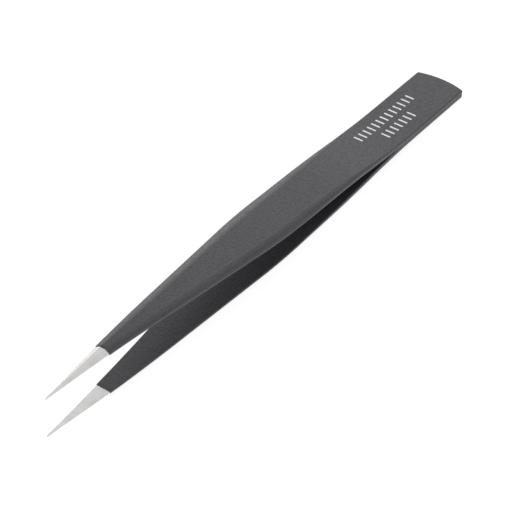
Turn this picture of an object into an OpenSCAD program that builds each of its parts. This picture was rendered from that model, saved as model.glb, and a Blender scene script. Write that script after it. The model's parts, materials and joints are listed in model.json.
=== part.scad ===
// Precision tweezers with needle points and a black static-dissipative coating.
// Two thin steel leaves are spot-welded flat against each other at the tail. In front
// of the weld each leaf is bent outwards, so that the arms stand apart and close when
// they are squeezed. A thin coating covers all but the points.
//
// The design frame has X from the points (0) to the tail, Y across the leaves and Z
// across the opening, with the seam between the leaves at Z = 0. stand() then lays the
// tweezers on their lower arm, with the origin at the bottom centre of their box.

/* [Overall] */
// Length from the points to the end of the tail
length = 120; // [105:1:150]
// Width across the grip, over the coating
grip_w = 10.8; // [8:0.1:14]
// Width across the tail, over the coating
tail_w = 10.5; // [8:0.1:14]
// Thickness of one steel leaf
leaf_t = 0.75; // [0.5:0.05:1.2]
// Thickness of the coating
coat_t = 0.1; // [0.05:0.01:0.2]

/* [Outline] */
// Distance from the points to the widest place of the grip
grip_x = 58; // [48:0.5:70]
// How much the long taper's sides belly out, as a share of their rise
taper_bow = 0.05; // [0:0.01:0.2]
// Length over which the taper eases into the even grip
grip_ease = 12; // [4:0.5:16]
// Length of the even grip, from its widest place to the start of the waist
grip_len = 8; // [4:0.5:20]
// Distance from the end of the tail to the place where the arms flex
flex_back = 28.5; // [22:0.5:33]
// How far the tail's round end stands out past its corners
tail_crown = 0.9; // [0.4:0.1:2]
// Radius of the tail's corners
tail_corner_r = 0.4; // [0.3:0.1:2]

/* [Points] */
// Length of the bare steel points, in front of the coating
bare_len = 14.3; // [8:0.1:25]
// Width of each point at its very end
tip_w = 0.2; // [0.2:0.05:1]
// Thickness of each point at its very end
tip_t = 0.35; // [0.25:0.05:0.5]

/* [Bevels] */
// Width of the ground bevel along each outer edge, over the grip
bevel_w = 1.5; // [0.6:0.1:2]
// Width of the bevel where the coating ends
bevel_front_w = 0.9; // [0.5:0.1:1.5]
// Most of the half width that the bevel takes on the points
bevel_share = 0.6; // [0.3:0.05:0.8]
// Height of the square edge that is left under the bevel
edge_h = 0.2; // [0.1:0.05:0.35]

/* [Opening] */
// Length of the flat, welded tail
weld_len = 17; // [14:0.5:21]
// Length of the outward bend in front of the weld
neck_len = 15.5; // [12:0.5:18]
// Length over which the leaf bends back behind the grip
recurve_len = 13; // [8:0.5:18]
// Length over which the arm straightens in front of the grip
shoulder_len = 15; // [10:0.5:20]
// Length of the nearly level stretch at the points
point_len = 15; // [10:0.5:20]
// Steepest lean of the arm, in the neck, in degrees
neck_lean = 5.4; // [5:0.1:9]
// Lean behind the grip, in degrees
recurve_lean = 2.3; // [1:0.1:4]
// Lean in front of the grip, in degrees
grip_lean = 3.1; // [2:0.1:5]
// Lean where the straight points start, in degrees
point_lean = 0.4; // [-1:0.1:1.5]
// Lean at the very end of the points, negative where they turn in, in degrees
tip_lean = -1.6; // [-3:0.1:0]

/* [Weld] */
// Number of spot welds along the tail
weld_count = 3; // [2:1:4]
// Diameter of each weld nugget
weld_d = 3; // [2:0.5:5]
// Depth that a nugget reaches into each leaf
weld_depth = 0.35; // [0.2:0.05:0.4]
// Distance from one nugget to the next
weld_pitch = 4.5; // [3.5:0.5:6]

/* [Marking] */
// Distance from the place where the arms flex to the first stroke of the long row
mark_start = 0.8; // [0.2:0.1:6]
// Distance from one printed stroke to the next
mark_pitch = 1.5; // [1:0.1:2]
// Length of each stroke, across the tail
mark_len = 2; // [1:0.1:2.5]
// Width of each stroke
mark_stroke = 0.4; // [0.2:0.05:0.8]
// Strokes in the long row and in the short row
mark_counts = [13, 7]; // [3:1:13]
// Sideways place of the long row's centre and of the short row's centre
mark_rows = [1.7, -1.6]; // [-3:0.1:3]
// Thickness of the printed ink
ink_t = 0.03; // [0.02:0.01:0.05]

/* [Hidden] */

steel = [0.80, 0.80, 0.79];
weld_steel = [0.62, 0.60, 0.58];
coating = [0.12, 0.12, 0.13];
ink = [0.93, 0.93, 0.94];

ring_step = 2;      // length of the straight facets along the arms
arc_step = 6;       // degrees between points on the tail's corners
end_step = 1.5;     // degrees between points on the tail's round end
run_out = 0.03;     // what is left of the bevel where the arm meets the tail

flex_x = length - flex_back;
waist_x = grip_x + grip_len;
grip_hw = grip_w/2 - coat_t;
tail_hw = tail_w/2 - coat_t;

// Places along the leaf where its curvature changes, and its lean there.
weld_x = length - weld_len;
bends = [[0, tip_lean], [point_len, point_lean], [point_len + shoulder_len, grip_lean],
         [weld_x - neck_len - recurve_len, recurve_lean], [weld_x - neck_len, neck_lean],
         [weld_x, 0]];

function sum(v, i = 0) = i < len(v) ? v[i] + sum(v, i + 1) : 0;
function smooth(u) = let (v = max(0, min(1, u))) v*v*(3 - 2*v);

// Height of a leaf's inner face above the seam. Between two bends the lean changes
// evenly, which is a round arc, and behind the last one the leaves lie together.
function lean(x) = lookup(x, bends);
function rise(x) = sum([for (i = [0 : len(bends) - 2])
    let (a = max(x, bends[i][0]), b = bends[i + 1][0])
    b > a ? (b - a)*tan((lean(a) + lean(b))/2) : 0]);

// Share of the taper's rise that is reached at x. It rises evenly, and eases off along
// an arc with its middle at the widest place, instead of ending in a corner.
function reached(x) =
    let (into = max(0, min(x - grip_x + grip_ease/2, grip_ease)))
    (min(x, grip_x + grip_ease/2) - into*into/(2*grip_ease))/grip_x;

// Half width of a bare leaf: a long, slightly bellied taper, an even grip, and an
// easy waist down to the tail.
function half_w(x) =
    let (u = reached(x))
    tip_w/2 + (grip_hw - tip_w/2)*u*(1 + taper_bow*(1 - u))
    - (grip_hw - tail_hw)*smooth((x - waist_x)/(flex_x - waist_x));

function thickness(x) = tip_t + (leaf_t - tip_t)*min(x/bare_len, 1);
function bevel(x) = min(bevel_share*half_w(x), lookup(x, [[bare_len, bevel_front_w],
    [grip_x, bevel_w], [waist_x, bevel_w], [flex_x, run_out]]));
function edge(x) = thickness(x)/leaf_t
    * lookup(x, [[waist_x, edge_h], [flex_x, leaf_t - run_out]]);

// One cross-section of an arm, as [y, z], grown by g on every face. The two factors
// keep the grown bevel parallel to the bare one.
function section(x, g) =
    let (h = half_w(x), b = bevel(x), t = thickness(x), e = edge(x), z = rise(x),
         a = atan2(t - e, b), ze = z + e + g*tan((90 - a)/2), yt = h - b + g*tan(a/2))
    [[-h - g, z - g], [h + g, z - g], [h + g, ze], [yt, z + t + g], [-yt, z + t + g],
     [-h - g, ze]];

// Places of the cross-sections between a and b, evenly spaced.
function spread(a, b, step = ring_step) =
    let (n = ceil(abs(b - a)/step)) [for (i = [0 : n]) a + (b - a)*i/n];
function tail_of(v) = [for (i = [1 : len(v) - 1]) v[i]];
coat_rings = concat(spread(bare_len, grip_x), tail_of(spread(grip_x, waist_x)),
                    tail_of(spread(waist_x, flex_x)));
blade_rings = concat(spread(0, bare_len), tail_of(coat_rings));

function ring_points(xs, g) = [for (x = xs) for (p = section(x, g)) [x, p[0], p[1]]];

// Skin between successive rings of k points, starting at point s. Flipped for the
// inside of a tube.
function skin(rings, k, s, flip = false) = [for (i = [0 : rings - 2]) for (j = [0 : k - 1])
    let (a = s + i*k + j, b = s + i*k + (j + 1) % k, c = b + k, d = a + k)
    for (t = [[a, d, c], [a, c, b]]) flip ? [t[0], t[2], t[1]] : t];

module solid_loft(xs, g) {
    k = len(section(0, 0));
    n = len(xs);
    polyhedron(points = ring_points(xs, g), faces = concat(skin(n, k, 0),
        [[for (j = [0 : k - 1]) j]], [[for (j = [k - 1 : -1 : 0]) (n - 1)*k + j]]));
}

module tube_loft(xs, g) {
    k = len(section(0, 0));
    n = len(xs);
    m = n*k;
    polyhedron(points = concat(ring_points(xs, g), ring_points(xs, 0)),
        faces = concat(skin(n, k, 0), skin(n, k, m, true),
            [for (j = [0 : k - 1]) let (q = (j + 1) % k) for (t = [[j, q, m + q], [j, m + q, m + j]]) t],
            [for (j = [0 : k - 1]) let (q = (j + 1) % k, e = (n - 1)*k)
                for (t = [[e + q, e + j, e + m + j], [e + q, e + m + j, e + m + q]]) t]));
}

// Plan of the tail behind the flexing place, grown by g: straight sides, two round
// corners and a round end, as arcs that meet smoothly.
module tail_plan(g) {
    chord = tail_w/2;
    end_r = (chord*chord/tail_crown + tail_crown)/2;
    inner_r = end_r - tail_corner_r;
    cy = chord - tail_corner_r;
    cx = length - end_r + sqrt(inner_r*inner_r - cy*cy);
    turn = atan2(cy, cx - (length - end_r));
    r = tail_corner_r - coat_t + g;
    big_r = end_r - coat_t + g;
    corner = [for (a = spread(90, turn, arc_step)) [cx + r*cos(a), cy + r*sin(a)]];
    half_end = [for (a = tail_of(spread(turn, 0, end_step)))
        [length - end_r + big_r*cos(a), big_r*sin(a)]];
    edge_side = concat([[flex_x, cy + r]], corner, half_end);
    other = [for (i = [len(edge_side) - 2 : -1 : 0]) [edge_side[i][0], -edge_side[i][1]]];
    polygon(concat(edge_side, other));
}

// A side profile, given in X and Z, made as wide as the tweezers.
module across(profile) {
    width = grip_w + tail_w;
    translate([0, width/2, 0]) rotate([90, 0, 0]) linear_extrude(width) polygon(profile);
}

bend_rings = spread(flex_x, weld_x);

// The line at height dz above a leaf's inner face, from the flexing place to the end.
function leaf_line(dz) = concat([for (x = bend_rings) [x, rise(x) + dz]], [[length + 1, dz]]);
function backwards(v) = [for (i = [len(v) - 1 : -1 : 0]) v[i]];
function below(v) = [for (p = v) [p[0], -p[1]]];

module tail_leaf() {
    intersection() {
        across(concat(leaf_line(0), backwards(leaf_line(leaf_t))));
        translate([0, 0, -length]) linear_extrude(2*length) tail_plan(0);
    }
}

weld_x0 = length - weld_len/2 - weld_pitch*(weld_count - 1)/2;
module welds() {
    for (i = [0 : weld_count - 1])
        translate([weld_x0 + i*weld_pitch, 0, -weld_depth])
            cylinder(d = weld_d, h = 2*weld_depth, $fn = 48);
}

// Rests the tweezers on their lower arm and the end of the tail.
lay_angle = max([for (x = coat_rings) atan2(rise(x), length - x)]);
function laid(p) = [p[0]*cos(lay_angle) + p[1]*sin(lay_angle),
                    p[1]*cos(lay_angle) - p[0]*sin(lay_angle)];
outside = leaf_t + coat_t;
floor_z = laid([length, -outside])[1];
front_x = laid([0, -rise(0) - tip_t])[0];
back_x = laid([length, outside])[0];
module stand() {
    translate([-(front_x + back_x)/2, 0, -floor_z]) rotate([0, lay_angle, 0]) children();
}
module lower() {
    mirror([0, 0, 1]) children();
}

// The front of a leaf, which flexes: it ends in the bare point.
module upper_arm_blade() {
    color(steel) stand() solid_loft(blade_rings, 0);
}
module lower_arm_blade() {
    color(steel) stand() lower() solid_loft(blade_rings, 0);
}

// The rear of a leaf, welded to its twin.
module upper_tail_blade() {
    color(steel) stand() difference() {
        tail_leaf();
        welds();
    }
}
module lower_tail_blade() {
    color(steel) stand() difference() {
        lower() tail_leaf();
        welds();
    }
}

// The melted spots that hold the leaves together.
module weld_nuggets() {
    color(weld_steel) stand() welds();
}

module upper_arm_coating() {
    color(coating) stand() tube_loft(coat_rings, coat_t);
}
module lower_arm_coating() {
    color(coating) stand() lower() tube_loft(coat_rings, coat_t);
}

// One skin round both leaves, which also fills the tightest part of the slit.
module tail_coating() {
    top = leaf_line(leaf_t + coat_t);
    slit = [for (p = leaf_line(-coat_t)) if (p[1] > 0) p];
    last = slit[len(slit) - 1];
    slope = tan(lean(last[0]));
    slit_end = [last[0] + last[1]/slope, 0];
    ahead = [flex_x - 1, slit[0][1]];
    color(coating) stand() difference() {
        intersection() {
            across(concat(top, backwards(below(top))));
            translate([0, 0, -length]) linear_extrude(2*length) tail_plan(coat_t);
        }
        tail_leaf();
        lower() tail_leaf();
        across(concat([ahead], slit, [slit_end], backwards(below(slit)), below([ahead])));
    }
}

// Plain upright strokes in two rows with a shared middle, wholly on the tail.
mark_mid = flex_x + mark_start + mark_stroke/2 + mark_pitch*(max(mark_counts) - 1)/2;
module printed_marking() {
    skin_top = leaf_t + coat_t;
    color(ink) stand() intersection() {
        across(concat(leaf_line(skin_top), backwards(leaf_line(skin_top + ink_t))));
        for (row = [0 : 1]) for (i = [0 : mark_counts[row] - 1])
            translate([mark_mid + (i - (mark_counts[row] - 1)/2)*mark_pitch - mark_stroke/2,
                       mark_rows[row] - mark_len/2, 0])
                cube([mark_stroke, mark_len, length]);
    }
}

upper_arm_blade();
lower_arm_blade();
upper_tail_blade();
lower_tail_blade();
weld_nuggets();
upper_arm_coating();
lower_arm_coating();
tail_coating();
printed_marking();
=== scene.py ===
"""Precision tweezers with needle points and a charcoal coating, lying on a white table."""

import json
import math

import bmesh
import bpy
from mathutils import Matrix, Vector
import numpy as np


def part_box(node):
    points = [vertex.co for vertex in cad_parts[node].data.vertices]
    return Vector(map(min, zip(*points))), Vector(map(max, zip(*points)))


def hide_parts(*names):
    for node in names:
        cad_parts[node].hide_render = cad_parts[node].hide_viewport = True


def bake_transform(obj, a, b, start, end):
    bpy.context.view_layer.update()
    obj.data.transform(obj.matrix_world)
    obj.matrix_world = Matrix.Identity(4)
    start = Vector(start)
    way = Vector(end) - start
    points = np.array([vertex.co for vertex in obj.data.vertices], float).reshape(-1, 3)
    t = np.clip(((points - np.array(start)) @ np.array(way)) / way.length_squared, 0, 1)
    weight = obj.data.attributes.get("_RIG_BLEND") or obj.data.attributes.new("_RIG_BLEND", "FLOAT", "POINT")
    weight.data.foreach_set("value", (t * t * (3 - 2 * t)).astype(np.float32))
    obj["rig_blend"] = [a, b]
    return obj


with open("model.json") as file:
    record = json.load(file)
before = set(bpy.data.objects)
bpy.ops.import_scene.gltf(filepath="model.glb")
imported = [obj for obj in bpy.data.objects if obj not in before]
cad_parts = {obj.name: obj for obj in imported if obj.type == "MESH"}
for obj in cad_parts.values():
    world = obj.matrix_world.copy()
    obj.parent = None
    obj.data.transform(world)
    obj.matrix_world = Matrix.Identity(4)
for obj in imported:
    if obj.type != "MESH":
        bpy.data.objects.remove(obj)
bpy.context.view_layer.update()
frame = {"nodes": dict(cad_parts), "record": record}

# ---------------------------------------------------------------------------
# The two leaves.
# Each is one strip of stainless spring steel, blanked to its outline, bevelled along
# both outer edges, bent outwards in front of the weld and ground to a needle point.

MM = 0.001
LENGTH = 120.0
LEAF_T, TIP_T = 0.75, 0.35
BARE_LEN = 14.3
GRIP_X, WAIST_X, FLEX_X, WELD_X = 58.0, 66.0, 91.5, 103.0
GRIP_EASE = 12.0
GRIP_HW, TAIL_HW, TIP_HW = 5.3, 5.15, 0.1
TAIL_CROWN, TAIL_CORNER = 0.9, 0.4
COAT_T = 0.1
TAPER_BOW = 0.05
BEVEL_FRONT, BEVEL_W, BEVEL_SHARE = 0.9, 1.5, 0.6
EDGE_H, RUN_OUT = 0.2, 0.12
BEND_FROM, BEND_TO = 97.2, 74.0

# Lean of the leaf against the seam, in degrees, at the places where its curve changes.
BENDS = [(0, -1.6), (15, 0.4), (30, 3.1), (74.5, 2.3), (87.5, 5.4), (WELD_X, 0)]


def between(x, table):
    """Value at x in a table of (place, value), straight from one row to the next."""
    if x <= table[0][0]:
        return table[0][1]
    for (a, va), (b, vb) in zip(table, table[1:]):
        if x <= b:
            return va + (vb - va) * (x - a) / (b - a)
    return table[-1][1]


def rise(x):
    """Height of a leaf's inner face above the seam, x from the points, both in mm."""
    height = 0.0
    for (start, _), (end, lean_end) in zip(BENDS, BENDS[1:]):
        a = max(x, start)
        if end > a:
            mean = math.radians((between(a, BENDS) + lean_end) / 2)
            height += (end - a) * math.tan(mean)
    return height


def ease(u):
    """From 0 to 1 with a soft start and a soft end."""
    u = max(0.0, min(1.0, u))
    return u * u * (3 - 2 * u)


def half_width(x):
    """The taper, eased along an arc into the even grip, then the waist and the tail."""
    into = max(0.0, min(x - GRIP_X + GRIP_EASE / 2, GRIP_EASE))
    u = (min(x, GRIP_X + GRIP_EASE / 2) - into * into / (2 * GRIP_EASE)) / GRIP_X
    taper = TIP_HW + (GRIP_HW - TIP_HW) * u * (1 + TAPER_BOW * (1 - u))
    return taper - (GRIP_HW - TAIL_HW) * ease((x - WAIST_X) / (FLEX_X - WAIST_X))


def leaf_thickness(x):
    """Full behind the bare point, and ground thinner towards its end."""
    return TIP_T + (LEAF_T - TIP_T) * min(x / BARE_LEN, 1)


def bevel_width(x, half):
    """Width of the ground bevel, which runs out at the neck."""
    ground = [(BARE_LEN, BEVEL_FRONT), (GRIP_X, BEVEL_W), (WAIST_X, BEVEL_W), (FLEX_X, RUN_OUT)]
    return min(BEVEL_SHARE * half, between(x, ground))


def square_edge(x):
    """Height of the square edge that is left under the bevel."""
    left = between(x, [(WAIST_X, EDGE_H), (FLEX_X, LEAF_T - RUN_OUT)])
    return leaf_thickness(x) / LEAF_T * left


# The tweezers lie on the lower arm and the tail, so the seam leans back by tilt.
underside = next(m for m in frame["record"]["mounts"] if m["name"] == "tail_underside")
tilt = math.atan2(-underside["axis"][0], -underside["axis"][2])
tail_low, tail_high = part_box("tail_coating")
skin_out = LEAF_T + COAT_T
seat_x = tail_high.x / MM - (LENGTH * math.cos(tilt) + skin_out * math.sin(tilt))
seat_z = tail_low.z / MM + skin_out * math.cos(tilt) + LENGTH * math.sin(tilt)


def laid(x, y, z):
    """A place on the tweezers, in mm from the points and the seam, as they lie."""
    return Vector((x * math.cos(tilt) + z * math.sin(tilt) + seat_x, y,
                   z * math.cos(tilt) - x * math.sin(tilt) + seat_z)) * MM


def eased_corner(before, corner, after, radius, steps=3):
    """The corner of a section as a run of points, rounded off with the radius."""
    corner = Vector(corner)
    back, on = Vector(before) - corner, Vector(after) - corner
    turn = math.pi - back.angle(on)
    reach = min(radius * math.tan(turn / 2), 0.42 * back.length, 0.42 * on.length)
    start, end = corner + back.normalized() * reach, corner + on.normalized() * reach
    return [start * (1 - t) ** 2 + corner * 2 * t * (1 - t) + end * t * t
            for t in (i / steps for i in range(steps + 1))]


def edge_profile(x, half, grown, low, crest, radius, ridge_r):
    """The worked edge of a leaf, as (inset from its side, height), from the inner face
    round the square edge and up the bevel to the outer face."""
    t, e = leaf_thickness(x) * crest, square_edge(x) * crest
    b = bevel_width(x, half)
    slope = math.atan2(t - e, b)
    base = rise(x) + leaf_thickness(x) * (1 - crest) / 2
    under = (0.0, low(x, base - grown))
    shoulder = (0.0, base + e + grown * math.tan((math.pi / 2 - slope) / 2))
    ridge = (b + grown * (1 - math.tan(slope / 2)), base + t + grown)
    middle = half + grown
    wall = shoulder[1] - under[1]
    lower = eased_corner((middle, under[1]), under, shoulder, min(radius, 0.4 * wall))
    edge = eased_corner(under, shoulder, ridge, radius)
    top = eased_corner(shoulder, ridge, (middle, ridge[1]), ridge_r)
    rest = (edge[-1] + top[0]) / 2
    # Share of the lighter edge colour at each point: rubbed wear, and a painted highlight on the rounded
    # edges and, weaker, on the crest of the bevel.
    worn_and_lit = [1.0] * 8 + [0.0] + [0.6] * 4
    return list(zip(lower + edge + [rest] + top, worn_and_lit))


def tail_outline(grown):
    """Edge of the rounded tail as (x, y, way in): one corner, then half of the end."""
    chord = TAIL_HW + COAT_T
    end_r = (chord * chord / TAIL_CROWN + TAIL_CROWN) / 2
    corner_y, end_x = chord - TAIL_CORNER, LENGTH - end_r
    corner_x = end_x + math.sqrt((end_r - TAIL_CORNER) ** 2 - corner_y ** 2)
    turn = math.atan2(corner_y, corner_x - end_x)
    corner_r, arc_r = TAIL_CORNER - COAT_T + grown, end_r - COAT_T + grown
    angles = [math.pi / 2 + (turn - math.pi / 2) * i / 12 for i in range(13)]
    outline = [(corner_x + corner_r * math.cos(a), corner_y + corner_r * math.sin(a), a)
               for a in angles]
    angles = [turn * (1 - i / 16) for i in range(1, 17)]
    outline += [(end_x + arc_r * math.cos(a), arc_r * math.sin(a), a) for a in angles]
    return [(x, y, (-math.cos(a), -math.sin(a))) for x, y, a in outline]


FLATS = [0.0, 0.25, 0.5, 0.75, 0.92, 0.985]


def leaf_rings(front, grown, low, radius, ridge_r, step=0.75):
    """Half rings of (x, y, height, rubbed wear and painted edge highlight), from a leaf's front to its
    rounded end. front has the first ones, as (x, growth, share of the width, share of the thickness)."""
    straight = (0.0, -1.0)
    stations = [(x, half_width(max(x, 0)) * wide + g, straight, g, wide, crest)
                for x, g, wide, crest in front]
    tail = tail_outline(grown)
    count = round((tail[0][0] - front[-1][0]) / step)
    for i in range(1, count):
        x = front[-1][0] + (tail[0][0] - front[-1][0]) * i / count
        stations.append((x, half_width(x) + grown, straight, grown, 1, 1))
    stations += [(x, y, inward, grown, 1, 1) for x, y, inward in tail]
    rings = []
    for x, y, inward, g, wide, crest in stations:
        half = max(half_width(max(0, min(x, WELD_X))) * wide, 0.0001)
        edge = [(x + inward[0] * p[0], max(y + inward[1] * p[0], 0), p[1], worn_and_lit)
                for p, worn_and_lit in edge_profile(x, half, g, low, crest, radius(x), ridge_r)]
        (x0, y0, z0, _), (x1, y1, z1, _) = edge[0], edge[-1]
        rings.append([(x0, y0 * f, z0, 0) for f in FLATS] + edge
                     + [(x1, y1 * f, z1, 0) for f in reversed(FLATS)])
    return rings


def loft(mesh, rings, side, inside_out=False):
    """Skins the half rings and their mirror images. side is 1 for the upper leaf and -1
    for the lower one."""
    place = mesh.verts.layers.float_vector["blank"]
    # Each point's share of the lighter edge colour: rubbed wear and a painted edge highlight.
    wear_and_highlight = mesh.verts.layers.float["wear_and_highlight"]
    loops = []
    for half_ring in rings:
        loop = []
        mirrored = [(x, -y, z, worn_and_lit) for x, y, z, worn_and_lit in half_ring[-2:0:-1]]
        for x, y, z, worn_and_lit in half_ring + mirrored:
            vert = mesh.verts.new(laid(x, y, z * side))
            vert[place], vert[wear_and_highlight] = Vector((x, y, (z - rise(x)) * side)), worn_and_lit
            loop.append(vert)
        loops.append(loop)
    for a, b in zip(loops, loops[1:]):
        for i in range(len(a)):
            j = (i + 1) % len(a)
            quad = [a[i], a[j], b[j], b[i]]
            mesh.faces.new(quad if (side > 0) == inside_out else quad[::-1])


def finished(name, mesh, arm, material, slot, *nodes):
    """Turns a mesh into a piece that bends from the tail to its arm and stands for the
    CAD nodes."""
    bmesh.ops.remove_doubles(mesh, verts=mesh.verts, dist=0.0002 * MM)
    bmesh.ops.dissolve_degenerate(mesh, edges=mesh.edges, dist=0.0001 * MM)
    data = bpy.data.meshes.new(name)
    mesh.to_mesh(data)
    mesh.free()
    data.shade_smooth()
    data.materials.append(material)
    piece = bpy.data.objects.new(name, data)
    bpy.context.scene.collection.objects.link(piece)
    piece.modifiers.new("even_normals", "WEIGHTED_NORMAL").weight = 80
    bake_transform(piece, "tail", arm, start=laid(BEND_FROM, 0, 0), end=laid(BEND_TO, 0, 0))
    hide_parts(*nodes)


def blank_mesh():
    """A mesh whose points know their place on the flat blank and their share of rubbed wear and painted edge
    highlight.
    """
    mesh = bmesh.new()
    mesh.verts.layers.float_vector.new("blank")
    mesh.verts.layers.float.new("wear_and_highlight")
    return mesh


def new_group(name, inputs, outputs):
    """An empty node group with the named sockets, as (group, its nodes, its links)."""
    group = bpy.data.node_groups.new(name, "ShaderNodeTree")
    for way, sockets in (("INPUT", inputs), ("OUTPUT", outputs)):
        for title, kind in sockets:
            group.interface.new_socket(title, in_out=way, socket_type="NodeSocket" + kind)
    return group, group.nodes, group.links


def add(tree, kind, at=(0, 0), **values):
    """A node of the kind, with its properties set by name and its inputs by their
    titles, where an underscore stands for a space. A socket as a value is linked."""
    node = tree.nodes.new("ShaderNode" + kind)
    node.location = at
    for key, value in values.items():
        if hasattr(node, key) and not key[0].isupper():
            setattr(node, key, value)
            continue
        title = int(key[1:]) if key[0] == "_" else key.replace("_", " ")
        socket = node.inputs[title]
        if isinstance(value, bpy.types.NodeSocket):
            tree.links.new(value, socket)
        else:
            socket.default_value = value
    return node


def new_material(name, **shader):
    """A material, its node tree and its Principled shader, with inputs set by title."""
    material = bpy.data.materials.new(name)
    material.use_nodes = True
    tree = material.node_tree
    skin = tree.nodes["Principled BSDF"]
    for title, value in shader.items():
        skin.inputs[title.replace("_", " ")].default_value = value
    return material, tree, skin


def ramp(tree, factor, *stops):
    """A colour ramp with two stops, each a place and a colour."""
    node = add(tree, "ValToRGB", Fac=factor)
    for stop, (place, colour) in zip(node.color_ramp.elements, stops):
        stop.position, stop.color = place, (*colour, 1)
    return node


# Lines left by grinding and polishing along the blank: long, fine and uneven.
brushed, nodes, links = new_group(
    "brushed_lines", [("Place", "Vector"), ("Length", "Float"), ("Pitch", "Float")],
    [("Height", "Float"), ("Tone", "Float")])
given, out = nodes.new("NodeGroupInput"), nodes.new("NodeGroupOutput")
split = add(brushed, "SeparateXYZ", Vector=given.outputs["Place"])
drawn = add(brushed, "CombineXYZ")
for axis, spacing in (("X", "Length"), ("Y", "Pitch"), ("Z", "Pitch")):
    shrunk = add(brushed, "Math", operation="DIVIDE",
                 _0=split.outputs[axis], _1=given.outputs[spacing])
    links.new(shrunk.outputs[0], drawn.inputs[axis])
lines = add(brushed, "TexNoise", Vector=drawn.outputs[0], Scale=1.0, Detail=4.0, Roughness=0.6)
tone = add(brushed, "TexNoise", Vector=given.outputs["Place"],
           Scale=0.45, Detail=3.0, Roughness=0.55)
links.new(lines.outputs["Fac"], out.inputs["Height"])
links.new(tone.outputs["Fac"], out.inputs["Tone"])

steel, tree, skin = new_material("ground_stainless", Metallic=1.0)
blank = add(tree, "Attribute", attribute_name="blank")
lines = add(tree, "Group", node_tree=brushed, Place=blank.outputs["Vector"],
            Length=3.0, Pitch=0.06)
tint = ramp(tree, lines.outputs["Tone"],
            (0.3, (0.60, 0.595, 0.585)), (0.7, (0.69, 0.68, 0.665)))
polish = add(tree, "MapRange", Value=lines.outputs["Height"],
             From_Min=0.3, From_Max=0.7, To_Min=0.26, To_Max=0.38)
bump = add(tree, "Bump", Strength=0.5, Distance=0.000004, Height=lines.outputs["Height"])
tree.links.new(tint.outputs["Color"], skin.inputs["Base Color"])
tree.links.new(polish.outputs["Result"], skin.inputs["Roughness"])
tree.links.new(bump.outputs["Normal"], skin.inputs["Normal"])

# The very end of the point is dressed round, so its first rings grow from nothing.
NOSE = 0.14
nose = [(NOSE * (1 - math.cos(a)), 0.0, math.sin(a), 0.45 + 0.55 * math.sin(a))
        for a in (math.radians(15 * i) for i in range(7))]
HAIR = 0.01
for level, side in (("upper", 1), ("lower", -1)):
    mesh = blank_mesh()
    rings = leaf_rings(nose, 0.0, lambda x, z: max(z, HAIR),
                       lambda x: min(0.05, 0.02 + 0.01 * x), ridge_r=0.3)
    loft(mesh, rings, side)
    finished(level + "_leaf", mesh, level + "_arm", steel, "point_steel",
             level + "_arm_blade", level + "_tail_blade")

# ---------------------------------------------------------------------------
# The spot welds.
# Three nuggets of remelted steel between the leaves hold them together at the tail.
# They are out of sight, and keep the frame's own shape.

weld, tree, skin = new_material("weld_metal", Metallic=1.0)
where = add(tree, "TexCoord")
grain = add(tree, "TexNoise", Vector=where.outputs["Object"], Scale=3000.0, Detail=3.0)
tint = ramp(tree, grain.outputs["Fac"], (0.0, (0.30, 0.28, 0.27)), (1.0, (0.55, 0.52, 0.50)))
rough = add(tree, "MapRange", Value=grain.outputs["Fac"], To_Min=0.4, To_Max=0.7)
tree.links.new(tint.outputs["Color"], skin.inputs["Base Color"])
tree.links.new(rough.outputs["Result"], skin.inputs["Roughness"])
nugget = frame["nodes"]["weld_nuggets"]
for place in nugget.material_slots:
    place.material = weld

# ---------------------------------------------------------------------------
# The coating.
# A thin charcoal static-dissipative paint, sprayed and baked on all but the points. It
# has a fine wrinkled grain, goes over the edges and ends in a masked step.

wrinkled, nodes, links = new_group(
    "wrinkle_grain", [("Place", "Vector"), ("Size", "Float")],
    [("Height", "Float"), ("Valley", "Float")])
given, out = nodes.new("NodeGroupInput"), nodes.new("NodeGroupOutput")
scale = add(wrinkled, "Math", operation="DIVIDE", _0=1.0, _1=given.outputs["Size"])
pull = add(wrinkled, "TexNoise", Vector=given.outputs["Place"], Scale=1.1, Detail=2.0)
moved = add(wrinkled, "VectorMath", operation="MULTIPLY_ADD",
            _0=pull.outputs["Color"], _1=(0.5, 0.5, 0.5))
links.new(given.outputs["Place"], moved.inputs[2])
cells = add(wrinkled, "TexVoronoi", feature="SMOOTH_F1", Vector=moved.outputs[0],
            Scale=scale.outputs[0], Smoothness=0.6)
fine = add(wrinkled, "TexNoise", Vector=given.outputs["Place"],
           Scale=scale.outputs[0], Detail=4.0, Roughness=0.6)
both = add(wrinkled, "Math", operation="MULTIPLY_ADD",
           _0=cells.outputs["Distance"], _1=-0.7, _2=fine.outputs["Fac"])
valley = add(wrinkled, "MapRange", Value=both.outputs[0], From_Min=-0.1, From_Max=0.5)
links.new(both.outputs[0], out.inputs["Height"])
links.new(valley.outputs["Result"], out.inputs["Valley"])

GRAIN_SIZE = 0.45
charcoal, tree, skin = new_material("charcoal_coating")
skin.inputs["IOR"].default_value = 1.55
blank = add(tree, "Attribute", attribute_name="blank")
worn_and_lit = add(tree, "Attribute", attribute_name="wear_and_highlight")
grain = add(tree, "Group", node_tree=wrinkled, Place=blank.outputs["Vector"], Size=GRAIN_SIZE)
cloud = add(tree, "TexNoise", Vector=blank.outputs["Vector"], Scale=0.09, Detail=3.0)
tint = ramp(tree, cloud.outputs["Fac"],
            (0.3, (0.025, 0.0255, 0.033)), (0.7, (0.0315, 0.032, 0.0405)))
# Painted shade: the colour is darkened in the valleys of the wrinkled grain.
valley_shade = add(tree, "MixRGB", blend_type="MULTIPLY", Fac=0.45,
           Color1=tint.outputs["Color"], Color2=grain.outputs["Valley"])
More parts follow.
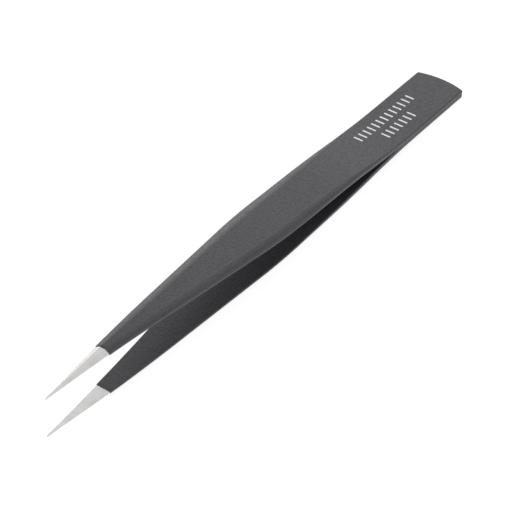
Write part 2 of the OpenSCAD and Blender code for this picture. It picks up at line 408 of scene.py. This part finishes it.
# Lighter edges: rubbed wear, and a painted highlight on the rounded edges and the crest of the bevel.
rubbed_and_lit = add(tree, "Math", operation="MULTIPLY", _0=worn_and_lit.outputs["Fac"], _1=0.25)
colour = add(tree, "MixRGB", Fac=rubbed_and_lit.outputs[0],
             Color1=valley_shade.outputs["Color"], Color2=(0.11, 0.112, 0.115, 1))
matt = add(tree, "MapRange", Value=grain.outputs["Valley"], To_Min=0.55, To_Max=0.44)
bump = add(tree, "Bump", Strength=1.0, Distance=0.00003, Height=grain.outputs["Height"])
tree.links.new(colour.outputs["Color"], skin.inputs["Base Color"])
tree.links.new(matt.outputs["Result"], skin.inputs["Roughness"])
tree.links.new(bump.outputs["Normal"], skin.inputs["Normal"])

LIP = 0.1
lip = [(BARE_LEN + LIP * (1 - math.cos(a)), HAIR + (COAT_T - HAIR) * math.sin(a), 1, 1)
       for a in (math.radians(22.5 * i) for i in range(5))]
for level, side in (("upper", 1), ("lower", -1)):
    mesh = blank_mesh()
    outer = leaf_rings(lip, COAT_T, lambda x, z: max(z, 0.0), lambda x: 0.12, ridge_r=2.4)
    inner = leaf_rings(lip[:1], HAIR, lambda x, z: max(z, HAIR / 2), lambda x: 0.05, ridge_r=0.3)
    loft(mesh, outer, side)
    loft(mesh, inner, side, inside_out=True)
    finished(level + "_skin", mesh, level + "_arm", charcoal, "coating",
             level + "_arm_coating", "tail_coating")

# ---------------------------------------------------------------------------
# The printed strokes.
# Two rows of plain strokes in flat white ink, pad-printed on the outer face of the tail.
# The ink lies on the grain of the coating and thins at its edges.

ink, tree, skin = new_material("white_ink")
blank = add(tree, "Attribute", attribute_name="blank")
grain = add(tree, "Group", node_tree=wrinkled, Place=blank.outputs["Vector"], Size=GRAIN_SIZE)
# Painted shade: the ink is greyer in the valleys of the grain.
tint = add(tree, "MixRGB", Fac=grain.outputs["Valley"],
           Color1=(0.62, 0.62, 0.64, 1), Color2=(0.9, 0.9, 0.9, 1))
bump = add(tree, "Bump", Strength=0.7, Distance=0.00002, Height=grain.outputs["Height"])
rough = add(tree, "MapRange", Value=grain.outputs["Valley"], To_Min=0.7, To_Max=0.5)
tree.links.new(tint.outputs["Color"], skin.inputs["Base Color"])
tree.links.new(rough.outputs["Result"], skin.inputs["Roughness"])
tree.links.new(bump.outputs["Normal"], skin.inputs["Normal"])

FIRST_STROKE, PITCH, STROKE_LEN, STROKE_W, INK_T = 0.8, 1.5, 2.0, 0.4, 0.03
ROWS = ((13, 1.7), (7, -1.6))
LONGEST_ROW = max(count for count, _ in ROWS)
ROWS_X = FLEX_X + FIRST_STROKE + STROKE_W / 2 + PITCH * (LONGEST_ROW - 1) / 2
CORNER_R, OUTLINE_POINTS = 0.12, 24

# How far each level of a stroke stands out past its outline, and its share of the ink.
INK_LEVELS = ((0.0, 0.002), (0.0, 0.6), (-0.015, 0.9), (-0.04, 1.0))


def stroke_outline(x, y, grow):
    """An upright stroke with round corners, centred on a place, as (x, y) points."""
    points = []
    for k in range(OUTLINE_POINTS):
        a = 2 * math.pi * k / OUTLINE_POINTS
        cx = math.copysign(STROKE_W / 2 - CORNER_R, math.cos(a))
        cy = math.copysign(STROKE_LEN / 2 - CORNER_R, math.sin(a))
        points.append((x + cx + (CORNER_R + grow) * math.cos(a),
                       y + cy + (CORNER_R + grow) * math.sin(a)))
    return points


mesh = blank_mesh()
place = mesh.verts.layers.float_vector["blank"]
for count, row_y in ROWS:
    for i in range(count):
        x = ROWS_X + (i - (count - 1) / 2) * PITCH
        loops = []
        for grow, up in INK_LEVELS:
            loop = []
            for px, py in stroke_outline(x, row_y, grow):
                height = rise(px) + LEAF_T + COAT_T + INK_T * up
                vert = mesh.verts.new(laid(px, py, height))
                vert[place] = (px, py, height - rise(px))
                loop.append(vert)
            loops.append(loop)
        for a, b in zip(loops, loops[1:]):
            for k in range(OUTLINE_POINTS):
                j = (k + 1) % OUTLINE_POINTS
                mesh.faces.new([a[k], a[j], b[j], b[k]])
        mesh.faces.new(loops[-1])
        mesh.faces.new(loops[0][::-1])
finished("printed_strokes", mesh, "upper_arm", ink, "ink", "printed_marking")

# ---------------------------------------------------------------------------
# The table and the light.
# A white light table, which glows evenly and can be seen through from below only, so
# that the underside can be looked at. Two softboxes light the tail from behind.

table, tree, skin = new_material("white_table", Roughness=0.8, Emission_Color=(1, 1, 1, 1),
                                 Emission_Strength=0.85)
grain = add(tree, "TexNoise", Scale=60.0, Detail=3.0)
tint = add(tree, "MixRGB", Fac=grain.outputs["Fac"],
           Color1=(0.22, 0.22, 0.22, 1), Color2=(0.25, 0.25, 0.25, 1))
tree.links.new(tint.outputs["Color"], skin.inputs["Base Color"])
clear = add(tree, "BsdfTransparent")
seen = add(tree, "NewGeometry")
mix = add(tree, "MixShader")
tree.links.new(seen.outputs["Backfacing"], mix.inputs[0])
tree.links.new(skin.outputs[0], mix.inputs[1])
tree.links.new(clear.outputs[0], mix.inputs[2])
tree.links.new(mix.outputs[0], tree.nodes["Material Output"].inputs["Surface"])
mesh = bmesh.new()
bmesh.ops.create_grid(mesh, x_segments=8, y_segments=8, size=1.5)
data = bpy.data.meshes.new("table")
mesh.to_mesh(data)
mesh.free()
data.materials.append(table)
floor = bpy.data.objects.new("table", data)
bpy.context.scene.collection.objects.link(floor)

world = bpy.data.worlds.new("studio")
bpy.context.scene.world = world
world.use_nodes = True
world.node_tree.nodes["Background"].inputs["Color"].default_value = (1, 1, 1, 1)
world.node_tree.nodes["Background"].inputs["Strength"].default_value = 0.9
bpy.context.scene.view_settings.view_transform = "Standard"

for name, spot, size, power in (("tail_softbox", (0.28, 0.13, 0.11), 0.15, 0.09),
                                ("far_softbox", (0.50, 0.65, 0.20), 0.30, 0.7)):
    lamp = bpy.data.objects.new(name, bpy.data.lights.new(name, "AREA"))
    bpy.context.scene.collection.objects.link(lamp)
    lamp.data.size, lamp.data.energy = size, power
    lamp.location = spot
    lamp.rotation_euler = lamp.location.to_track_quat("Z", "Y").to_euler()
    lamp.visible_camera = False

# ---------------------------------------------------------------------------
# The camera.
# It looks down on the tweezers from the side of the points, along their length.

camera = bpy.data.objects.new("camera", bpy.data.cameras.new("camera"))
bpy.context.scene.collection.objects.link(camera)
bpy.context.scene.camera = camera
around, above, roll = math.radians(-54.313), math.radians(41.540), math.radians(0.480)
back = Vector((math.sin(around) * math.cos(above), -math.cos(around) * math.cos(above),
               math.sin(above)))
right = Vector((math.cos(around), math.sin(around), 0))
up = back.cross(right)
right, up = (right * math.cos(roll) + up * math.sin(roll),
             up * math.cos(roll) - right * math.sin(roll))
turn = Matrix((right, up, back)).transposed().to_4x4()
distance, leftward, downward = 0.362703, 0.001755, 0.005220
middle = Vector((0, 0, 0.005))
eye = middle + back * distance - right * leftward - up * downward
camera.matrix_world = Matrix.Translation(eye) @ turn
camera.data.lens, camera.data.sensor_width = 143.530, 36
camera.data.clip_start, camera.data.clip_end = 0.01, 20
